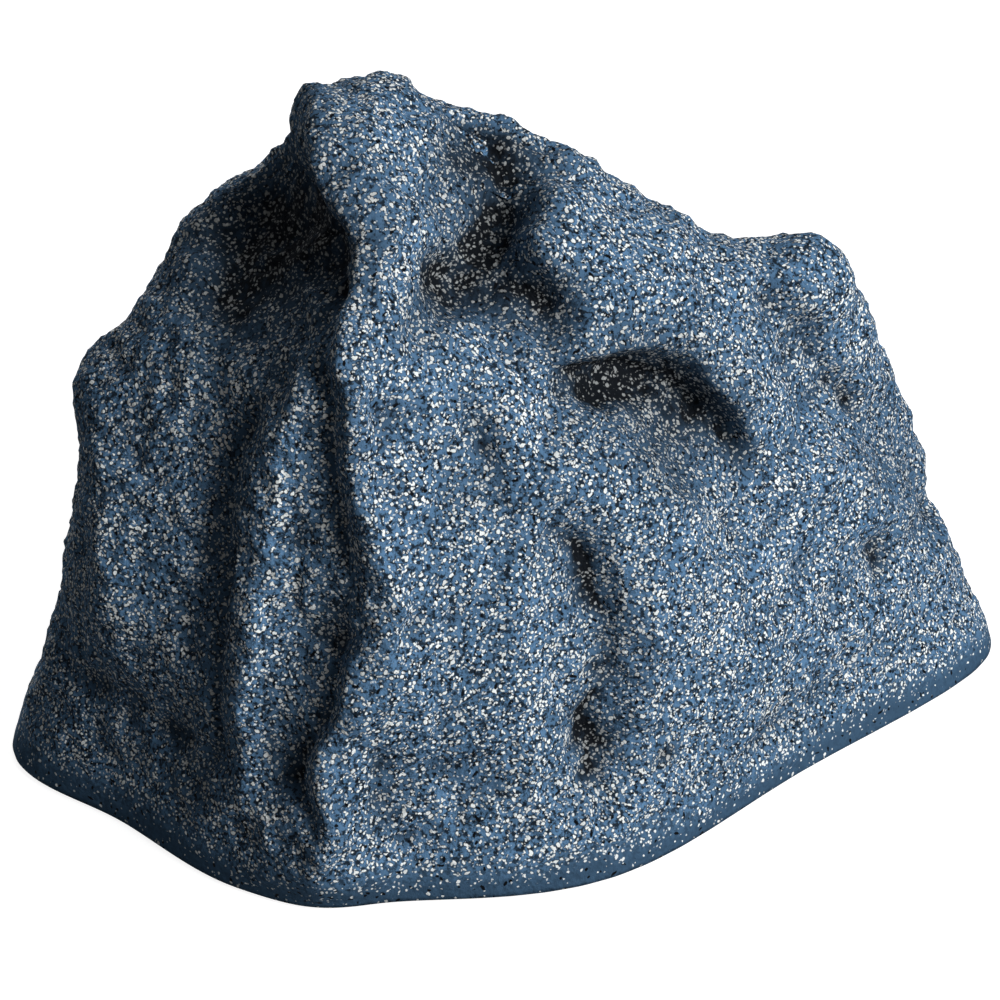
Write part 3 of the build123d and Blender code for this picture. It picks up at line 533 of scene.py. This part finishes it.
def woven(name, shade, pitch, roughness=0.85):
    """Treated cloth: two crossing sets of threads."""
    finish = new_finish(name)
    place = finish.place()
    sockets = {"Vector": place, "Scale": WAVE_SCALE / pitch}
    warp = finish.node("ShaderNodeTexWave", {"bands_direction": "X"}, sockets)
    weft = finish.node("ShaderNodeTexWave", {"bands_direction": "Z"}, sockets)
    thread = warp.out("Fac") * 0.5 + weft.out("Fac") * 0.5
    drift = finish.mottle(place, 90, 3, 0.6)
    return finish.coat(
        Base_Color=finish.blend(thread * 0.7 + drift * 0.3, solid(shade, 0.55), solid(shade, 1.2)),
        Roughness=roughness,
        Normal=finish.bump(thread, 0.0002, 0.8),
    )


def wound(name, shade, pitch, axis):
    """Turns of enamelled wire along an axis."""
    finish = new_finish(name)
    place = finish.place()
    along = finish.vector("DOT_PRODUCT", place, tuple(axis)).out("Value")
    turn = (along * (1 / pitch)) % 1.0
    crown = 4 * turn * (1 - turn)
    drift = finish.mottle(place, 300, 3, 0.6)
    return finish.coat(
        # Painted highlight and painted shade: the colour is lightest on the crown of each turn and darkest
        # between the turns.
        Base_Color=finish.blend(crown * 0.7 + drift * 0.3, solid(shade, 0.35), solid(shade, 1.15)),
        Metallic=0.85,
        Roughness=0.30 + 0.15 * drift,
        Normal=finish.bump(crown, 0.0004, 0.9),
    )


def off_fold(x, z, line):
    """Distance of points from a fold's line, as seen from the front."""
    points = [np.array(p, float) for p in line]
    if len(points) == 1:
        return np.hypot(x - points[0][0], z - points[0][1])
    best = np.full(x.shape, np.inf)
    for a, b in zip(points, points[1:]):
        run = b - a
        t = np.clip(((x - a[0]) * run[0] + (z - a[1]) * run[1]) / (run @ run), 0, 1)
        best = np.minimum(best, np.hypot(x - a[0] - t * run[0], z - a[1] - t * run[1]))
    return best


def outside_of(bm):
    """The faces of the boulder's outer skin: all that joins the top, up to the recess and the foot."""
    foot = min(v.co.z for v in bm.verts) + FOOT_SLACK

    def is_skin(face):
        if all(v.co.z < foot for v in face.verts):
            return False
        middle = face.calc_center_median() - BAFFLE
        off = (middle - AXIS * middle.dot(AXIS)).length
        return middle.dot(AXIS) < -RECESS_DEPTH or off > RECESS_RADIUS - HAIR

    start = max(bm.faces, key=lambda f: f.calc_center_median().z)
    skin, front = {start}, [start]
    while front:
        for edge in front.pop().edges:
            for face in edge.link_faces:
                if face not in skin and is_skin(face):
                    skin.add(face)
                    front.append(face)
    return skin


def split_long(bm, mark, kind, grain, rounds=6):
    """Splits the edges of the faces of one kind until none is longer than the grain."""
    for _ in range(rounds):
        long = [
            e for e in bm.edges
            if e.calc_length() > grain and any(f[mark] == kind for f in e.link_faces)
        ]
        if not long:
            break
        bmesh.ops.subdivide_edges(bm, edges=long, cuts=1)
        bmesh.ops.triangulate(bm, faces=[f for f in bm.faces if len(f.verts) > 3])


def refine(bm, grain):
    """Marks the outer skin and the inside of the front wall, and splits both finely."""
    mark = bm.faces.layers.int.new("skin")
    for face in outside_of(bm):
        face[mark] = SKIN
    for face in bm.faces:
        middle = face.calc_center_median()
        turned = face.normal.y > BEHIND_TURN
        if face[mark] != SKIN and turned and middle.y < BEHIND_REAR and middle.z > BEHIND_FOOT:
            face[mark] = BEHIND
    split_long(bm, mark, SKIN, grain)
    split_long(bm, mark, BEHIND, BEHIND_GRAIN)
    return mark


def round_off(bm, mark, passes):
    """Rounds the facets. The foot's edge runs round with them, and the recess keeps its edge."""
    inside = [v for v in bm.verts if all(f[mark] == SKIN for f in v.link_faces)]
    rim = [e for e in bm.edges if len({f[mark] == SKIN for f in e.link_faces}) == 2]
    foot = min(v.co.z for v in bm.verts) + FOOT_SLACK
    hem = {}
    for edge in rim:
        a, b = edge.verts
        if a.co.z < foot and b.co.z < foot:
            hem.setdefault(a, []).append(b)
            hem.setdefault(b, []).append(a)
    for _ in range(passes):
        bmesh.ops.smooth_vert(
            bm, verts=inside, factor=0.5, use_axis_x=True, use_axis_y=True, use_axis_z=True
        )
        eased = {
            v: (v.co * 2 + sum((n.co for n in near), Vector())) / (2 + len(near))
            for v, near in hem.items()
        }
        for v, place in eased.items():
            v.co = place
    return inside, rim


def creased(places, widen):
    """How far the named creases move points of the front wall, and how dark the painted shade in them is
    there.
    """
    noise.seed_set(BEND_SEED)
    spots = [Vector(p) * BEND_SCALE for p in places]
    bend = np.array([noise.noise_vector(spot, noise_basis="PERLIN_ORIGINAL") for spot in spots])
    x = (places[:, 0] + bend[:, 0] * BEND_REACH) / MM
    z = (places[:, 2] + bend[:, 2] * BEND_REACH) / MM
    rise = np.zeros(len(places))
    dark = np.zeros(len(places))
    for line, reach, depth, shade in CREASES.values():
        off = off_fold(x, z, line) / (reach * widen)
        rise += depth * MM * np.clip(1 - off, 0, 1) ** CREASE_POWER
        # Painted shade, darkest along the crease's line.
        dark = np.maximum(dark, shade * np.clip(PAINTED_SHADE_LEVEL - PAINTED_SHADE_SLOPE * off, 0, 1))
    low = np.clip((places[:, 2] - CREASE_FOOT) / CREASE_FADE, CREASE_LEAST, 1)
    return rise * low, dark


def carve(inside, rim, painted_shade, look):
    """Moves the skin out and in, and lays the painted shade of the front creases: creases in front, swells
    and wrinkles all over.
    """
    edge = kdtree.KDTree(len(rim))
    for i, e in enumerate(rim):
        edge.insert((e.verts[0].co + e.verts[1].co) / 2, i)
    edge.balance()
    places = np.array([v.co for v in inside])
    facing = np.array([v.normal for v in inside])
    clear = np.array([edge.find(v.co)[2] for v in inside])
    fade = np.clip(clear / look.rim_fade, 0, 1)
    fade = fade * fade * (3 - 2 * fade)
    front = np.clip((CREASE_TURN - facing[:, 1]) / TURN_SPAN, 0, 1)
    rise, dark = creased(places, 1)
    rise = rise * front + look.stand
    turned = np.clip((SWELL_TURN - facing[:, 1]) / TURN_SPAN, 0, 1)
    for line, reach, depth in SWELLS.values():
        off = off_fold(places[:, 0] / MM, places[:, 2] / MM, line) / reach
        rise += depth * MM * (1 - np.clip(off, 0, 1) ** 2) ** 2 * turned
    above = np.clip((places[:, 2] - look.skirt) / SKIRT_FADE, 0, 1)
    for i, v in enumerate(inside):
        swell = noise.fractal(v.co * SWELL_SCALE, 1.0, 2.0, 3, noise_basis="PERLIN_ORIGINAL")
        hewn = noise.ridged_multi_fractal(
            v.co * HEWN_SCALE, 0.9, 2.1, 4, 0.9, 2.0, noise_basis="PERLIN_ORIGINAL"
        )
        crust = noise.turbulence(v.co * WRINKLE_SCALE, 3, False, noise_basis="PERLIN_ORIGINAL")
        rough = 0.25 + 0.75 * above[i]
        rise[i] += look.swell * swell * (0.4 + 0.6 * above[i])
        rise[i] += (look.hewn * (hewn - 1.0) + look.wrinkle * (crust - 0.5)) * rough
    # Each point keeps its painted shade for the coat.
    for v, normal, step, shade in zip(inside, facing, rise * fade, dark * front):
        v.co += Vector(normal) * step
        v[painted_shade] = shade


def sunk(inside, passes):
    """How far each point of the skin lies below the mean of what is round it."""
    index = {v: i for i, v in enumerate(inside)}
    edges = {e for v in inside for e in v.link_edges}
    pairs = [[index[w] for w in e.verts] for e in edges if all(w in index for w in e.verts)]
    first, second = np.array(sorted(pairs)).T
    start = np.array([v.co for v in inside])
    count = np.bincount(first, minlength=len(start)) + np.bincount(second, minlength=len(start)) + 1.0
    mean = start
    for _ in range(passes):
        total = mean.copy()
        for k in range(3):
            total[:, k] += np.bincount(first, mean[second, k], len(start))
            total[:, k] += np.bincount(second, mean[first, k], len(start))
        mean = total / count[:, None]
    facing = np.array([v.normal for v in inside])
    return ((mean - start) * facing).sum(1)


def carry(bm, mark):
    """Moves the inside of the front wall back where a crease cuts deeper than the wall."""
    behind = [v for v in bm.verts if all(f[mark] == BEHIND for f in v.link_faces)]
    rise, _ = creased(np.array([v.co for v in behind]), BEHIND_WIDEN)
    for v, normal, step in zip(behind, [v.normal.copy() for v in behind], rise):
        v.co += normal * max(0, -step)


class BOULDER_OT_shell(Operator):
    """Rounds, folds and roughens the moulded boulder, and paints shade into its creases and recesses"""

    bl_idname = "boulder.shell"
    bl_label = "Moulded shell"

    def execute(self, context):
        look = context.scene.boulder.shell
        bm = bmesh.new()
        bm.from_mesh(frame["nodes"]["rock_shell"].data)
        bmesh.ops.remove_doubles(bm, verts=bm.verts, dist=MERGE)
        # Painted shade of the creases and recesses, kept on the points for the coat.
        painted_shade = bm.verts.layers.float.new("painted_shade")
        mark = refine(bm, look.grain)
        inside, rim = round_off(bm, mark, look.rounding)
        bm.normal_update()
        carve(inside, rim, painted_shade, look)
        carry(bm, mark)
        bm.normal_update()
        # Painted shade: points that lie below their surroundings get darker, as if shade fell in them.
        for v, depth in zip(inside, sunk(inside, SUNK_PASSES)):
            v[painted_shade] = max(v[painted_shade] * SUNK_PAINTED_SHADE, min(SUNK_PAINTED_SHADE, depth / SUNK_DEPTH))
        keep("boulder_skin", bm, boulder_coat(look), "rock", "rock_shell")
        return {"FINISHED"}


def sheet_normal(place, flat, shoulder):
    """The way out of the grille's sheet: up on its face, round on its bend, sideways on its rim."""
    out = Vector((place.x, place.y, 0))
    if out.length <= flat + HAIR:
        return Vector((0, 0, 1))
    way = out.normalized()
    return (way * (out.length - flat) + Vector((0, 0, max(0, place.z - shoulder)))).normalized()


class BOULDER_OT_grille(Operator):
    """Punches and presses the grille"""

    bl_idname = "boulder.grille"
    bl_label = "Grille"

    def execute(self, context):
        look = context.scene.boulder.grille
        flat = look.radius - look.bend
        step = look.pitch
        climb = step * math.sqrt(0.75)
        rows = math.ceil(flat / climb)
        bm = bmesh.new()
        made = bmesh.ops.create_circle(bm, cap_ends=True, segments=6, radius=step / math.sqrt(3))
        bmesh.ops.translate(bm, verts=made["verts"], vec=(-step * rows * 1.5, -climb * rows, 0))
        for dvec, steps in (((step, 0, 0), 3 * rows), ((step / 2, climb, 0), 2 * rows)):
            bmesh.ops.spin(
                bm, geom=[*bm.verts, *bm.edges, *bm.faces], cent=(0, 0, 0), axis=(0, 0, 1), dvec=dvec,
                angle=0, steps=steps, use_duplicate=True,
            )
        off = [f for f in bm.faces if f.calc_center_median().length > flat - step * 0.75]
        bmesh.ops.delete(bm, geom=off, context="FACES")
        bmesh.ops.remove_doubles(bm, verts=bm.verts, dist=step * 0.02)
        cells = list(bm.faces)
        turn = [(flat, look.top)]
        for i in range(1, BEND_STEPS + 1):
            a = math.radians(90 * i / BEND_STEPS)
            turn.append((flat + look.bend * math.sin(a), look.top - look.bend * (1 - math.cos(a))))
        turn.append((look.radius, look.foot))
        for v in bm.verts:
            v.co.z = look.top
        border = [e for e in bm.edges if e.is_boundary]
        for radius, height in turn:
            made = bmesh.ops.extrude_edge_only(bm, edges=border)["geom"]
            for v in made:
                if isinstance(v, bmesh.types.BMVert):
                    out = Vector((v.co.x, v.co.y, 0)).normalized() * radius
                    v.co = (out.x, out.y, height)
            border = [e for e in made if isinstance(e, bmesh.types.BMEdge) and e.is_boundary]
        bmesh.ops.inset_individual(bm, faces=cells, thickness=look.bridge / 2, use_even_offset=True)
        bmesh.ops.delete(bm, geom=cells, context="FACES")
        made = bmesh.ops.extrude_face_region(bm, geom=list(bm.faces), use_keep_orig=True)["geom"]
        for v in made:
            if isinstance(v, bmesh.types.BMVert):
                v.co -= sheet_normal(v.co, flat, look.top - look.bend) * look.sheet
        bmesh.ops.recalc_face_normals(bm, faces=bm.faces)
        turn_up = AXIS.to_track_quat("Z", "Y").to_matrix().to_4x4()
        bmesh.ops.transform(bm, verts=bm.verts, matrix=Matrix.Translation(BAFFLE) @ turn_up)
        coat = moulded("grille_coat", look.coat, grain=1500, roughness=0.48, bump=0.00008)
        keep("grille_sheet", bm, coat, "grille", "grille", smooth=False)
        return {"FINISHED"}


class BOULDER_OT_base(Operator):
    """Finishes the base panel, its seal, feet, screws and cable inlet"""

    bl_idname = "boulder.base"
    bl_label = "Base"

    def execute(self, context):
        look = context.scene.boulder.fittings
        panel = moulded("base_plastic", look.panel, grain=700, roughness=0.50, bump=0.0002)
        rubber = moulded("foot_rubber", look.rubber, grain=1200, roughness=0.80, bump=0.0001)
        zinc = plated("screw_zinc", look.steel)
        dress("base_panel", panel)
        for node in ("base_seal", "rubber_feet", "cable_grommet", "grille_edging", "driver_seal"):
            dress(node, rubber)
        for node in ("base_screws", "foot_screws", "driver_screws", "board_screws"):
            dress(node, zinc)
        return {"FINISHED"}


def flexing(node, material, slot, inner_land, outer_land):
    """Cuts a ring between frame and cone into sectors, each about its own radius."""
    whole = bmesh.new()
    whole.from_mesh(frame["nodes"][node].data)
    bmesh.ops.remove_doubles(whole, verts=whole.verts, dist=MERGE)
    arms = [v.co - BAFFLE for v in whole.verts]
    reach = [(arm - AXIS * arm.dot(AXIS)).length for arm in arms]
    half = math.pi / SECTORS
    held = (max(reach) - outer_land) * math.cos(half)
    moved = min(reach) + inner_land
    side = AXIS.orthogonal().normalized()
    for i in range(SECTORS):
        bm = whole.copy()
        for turn, sign in ((2 * i + 1, 1), (2 * i - 1, -1)):
            cut = Matrix.Rotation(turn * half, 3, AXIS) @ AXIS.cross(side) * sign
            geom = [*bm.verts, *bm.edges, *bm.faces]
            bmesh.ops.bisect_plane(
                bm, geom=geom, dist=CUT_SLACK, plane_co=BAFFLE, plane_no=cut, clear_outer=True
            )
        out = Matrix.Rotation(2 * i * half, 3, AXIS) @ side
        across = (BAFFLE + out * held, BAFFLE + out * moved)
        keep(f"{node}_{i + 1:02d}", bm, material, slot, node, across=across)
    whole.free()


class BOULDER_OT_driver(Operator):
    """Finishes the two-way driver behind the grille"""

    bl_idname = "boulder.driver"
    bl_label = "Driver"

    def execute(self, context):
        look = context.scene.boulder.fittings
        dress("driver_frame", moulded("frame_paint", (0.020, 0.020, 0.022), 1100, 0.42, 0.00006))
        roll = moulded("roll_rubber", look.rubber, 1600, 0.62, 0.00004)
        flexing("surround", roll, "rubber", inner_land=0.005, outer_land=0.005)
        dress("cone", moulded("cone_pulp", (0.030, 0.030, 0.032), 500, 0.72, 0.00025))
        cloth = woven("spider_cloth", look.cloth, 0.0007)
        flexing("spider", cloth, "cloth", inner_land=0.001, outer_land=0.005)
        dress("coil_former", moulded("former_film", (0.30, 0.13, 0.03), 300, 0.30, 0.00002))
        dress("coil_winding", wound("coil_wire", look.copper, 0.0003, AXIS))
        dress("top_plate", plated("plate_zinc", look.steel, 0.34))
        dress("yoke", plated("yoke_zinc", look.steel, 0.36))
        dress("magnet", moulded("magnet_ferrite", (0.045, 0.045, 0.048), 350, 0.70, 0.00015))
        dress("tweeter_stem", plated("stem_brass", (0.55, 0.42, 0.20), 0.30))
        dress("tweeter_cup", moulded("cup_plastic", look.panel, 1000, 0.45, 0.0001))
        dress("tweeter_magnet", moulded("tweeter_ferrite", (0.045, 0.045, 0.048), 500, 0.66, 0.0001))
        dress("tweeter_dome", woven("dome_silk", (0.050, 0.050, 0.056), 0.0004, 0.60))
        dress("tweeter_ring", moulded("ring_plastic", look.panel, 1300, 0.40, 0.00006))
        dress("terminal_strip", moulded("strip_board", look.board, 800, 0.60, 0.0001))
        dress("terminal_lugs", plated("lug_tin", (0.62, 0.60, 0.55), 0.34))
        return {"FINISHED"}


class BOULDER_OT_crossover(Operator):
    """Finishes the crossover and its leads"""

    bl_idname = "boulder.crossover"
    bl_label = "Crossover"

    def execute(self, context):
        look = context.scene.boulder.fittings
        dress("crossover_board", moulded("board_phenolic", look.board, 600, 0.50, 0.00006))
        dress("choke_coil", wound("choke_wire", look.copper, 0.0009, (0, 0, 1)))
        dress("capacitor", moulded("film_wrap", (0.42, 0.30, 0.05), 300, 0.35, 0.00003))
        dress("resistor", moulded("resistor_cement", (0.55, 0.53, 0.48), 900, 0.85, 0.00015))
        dress("terminal_block", moulded("block_plastic", (0.02, 0.12, 0.06), 900, 0.45, 0.00005))
        dress("wire_positive", moulded("lead_red", (0.35, 0.015, 0.015), 700, 0.45, 0.00004))
        dress("wire_negative", moulded("lead_black", (0.012, 0.012, 0.013), 700, 0.45, 0.00004))
        return {"FINISHED"}


def add_lamp(name, level, size, distance, direction, target):
    """A square soft lamp whose level is the brightness it gives a white face turned to it."""
    data = bpy.data.lights.new(name, "AREA")
    data.shape = "SQUARE"
    data.size = size
    data.energy = level * math.pi**2 * distance**2
    lamp = bpy.data.objects.new(name, data)
    way = Vector(direction).normalized()
    lamp.location = Vector(target) + way * distance
    lamp.rotation_mode = "QUATERNION"
    lamp.rotation_quaternion = way.to_track_quat("Z", "Y")
    bpy.context.scene.collection.objects.link(lamp)


def shown_directly(finish):
    """1 for rays that show the background itself or its reflection."""
    path = finish.node("ShaderNodeLightPath")
    seen = path.out("Is Camera Ray") + path.out("Is Glossy Ray") + path.out("Is Transmission Ray")
    return seen.held()


class BOULDER_OT_studio(Operator):
    """Sets the floor, the light and the camera"""

    bl_idname = "boulder.studio"
    bl_label = "Studio"

    def execute(self, context):
        look = context.scene.boulder.studio
        scene = context.scene
        scene.view_settings.view_transform = "Standard"
        bm = bmesh.new()
        bmesh.ops.create_grid(bm, x_segments=1, y_segments=1, size=FLOOR_SIZE)
        mesh = bpy.data.meshes.new("studio_floor")
        bm.to_mesh(mesh)
        bm.free()
        floor = bpy.data.objects.new("studio_floor", mesh)
        scene.collection.objects.link(floor)
        paper = new_finish("floor_paper")
        tree = paper.tree
        tree.nodes.remove(tree.nodes["Principled BSDF"])
        plain = paper.node("ShaderNodeBsdfDiffuse", None, {"Color": solid(look.floor)})
        faint = paper.node("ShaderNodeBsdfDiffuse", None, {"Color": solid((FLOOR_SHADE,) * 3)})
        glow = paper.node("ShaderNodeEmission", None, {"Color": solid((1, 1, 1)), "Strength": FLOOR_GLOW})
        white = paper.node("ShaderNodeAddShader", None, {0: faint, 1: glow})
        above = paper.node("ShaderNodeMixShader", None, {0: shown_directly(paper), 1: plain, 2: white})
        below = paper.node("ShaderNodeNewGeometry").out("Backfacing")
        clear = paper.node("ShaderNodeBsdfTransparent")
        seen = paper.node("ShaderNodeMixShader", None, {0: below, 1: above, 2: clear})
        tree.links.new(seen.socket, tree.nodes["Material Output"].inputs["Surface"])
        mesh.materials.append(paper.owner)
        scene.world = bpy.data.worlds.new("studio_sky")
        sky = Finish(scene.world)
        level = shown_directly(sky) * (BACKGROUND - look.sky) + look.sky
        sky.feed(sky.tree.nodes["Background"], "Color", solid((1, 1, 1)))
        sky.feed(sky.tree.nodes["Background"], "Strength", level)
        target = Vector(look.target)
        for name, (setting, size, distance, direction) in LAMPS.items():
            add_lamp(name, getattr(look, setting), size, distance, direction, target)
        data = bpy.data.cameras.new("studio_camera")
        data.lens = look.lens
        data.sensor_width = SENSOR_WIDTH
        data.shift_x, data.shift_y = CAMERA_SHIFT
        back = Vector((0, -math.cos(look.elevation), math.sin(look.elevation)))
        camera = bpy.data.objects.new("studio_camera", data)
        camera.location = target + back * look.distance
        camera.rotation_mode = "QUATERNION"
        camera.rotation_quaternion = back.to_track_quat("Z", "Y")
        scene.collection.objects.link(camera)
        scene.camera = camera
        return {"FINISHED"}


OPERATORS = (
    BOULDER_OT_shell,
    BOULDER_OT_grille,
    BOULDER_OT_base,
    BOULDER_OT_driver,
    BOULDER_OT_crossover,
    BOULDER_OT_studio,
)


class BOULDER_PT_sidebar(Panel):
    """Lists the boulder's settings and the steps that make it"""

    bl_idname = "BOULDER_PT_sidebar"
    bl_label = "Boulder speaker"
    bl_space_type = "VIEW_3D"
    bl_region_type = "UI"
    bl_category = "Boulder"

    def draw(self, context):
        boulder = context.scene.boulder
        for group in ("shell", "grille", "fittings", "studio"):
            box = self.layout.box()
            for name in getattr(boulder, group).bl_rna.properties.keys():
                if name not in ("rna_type", "name"):
                    box.prop(getattr(boulder, group), name)
        for step in OPERATORS:
            self.layout.operator(step.bl_idname)


CLASSES = (
    BoulderShellLook,
    BoulderGrilleLook,
    BoulderFittingsLook,
    BoulderStudioLook,
    BoulderLook,
    *OPERATORS,
    BOULDER_PT_sidebar,
)


def register():
    for cls in CLASSES:
        bpy.utils.register_class(cls)
    bpy.types.Scene.boulder = PointerProperty(type=BoulderLook)


def unregister():
    del bpy.types.Scene.boulder
    for cls in reversed(CLASSES):
        bpy.utils.unregister_class(cls)


def main():
    register()
    bpy.ops.boulder.shell()
    bpy.ops.boulder.grille()
    bpy.ops.boulder.base()
    bpy.ops.boulder.driver()
    bpy.ops.boulder.crossover()
    bpy.ops.boulder.studio()


if __name__ == "__main__":
    main()
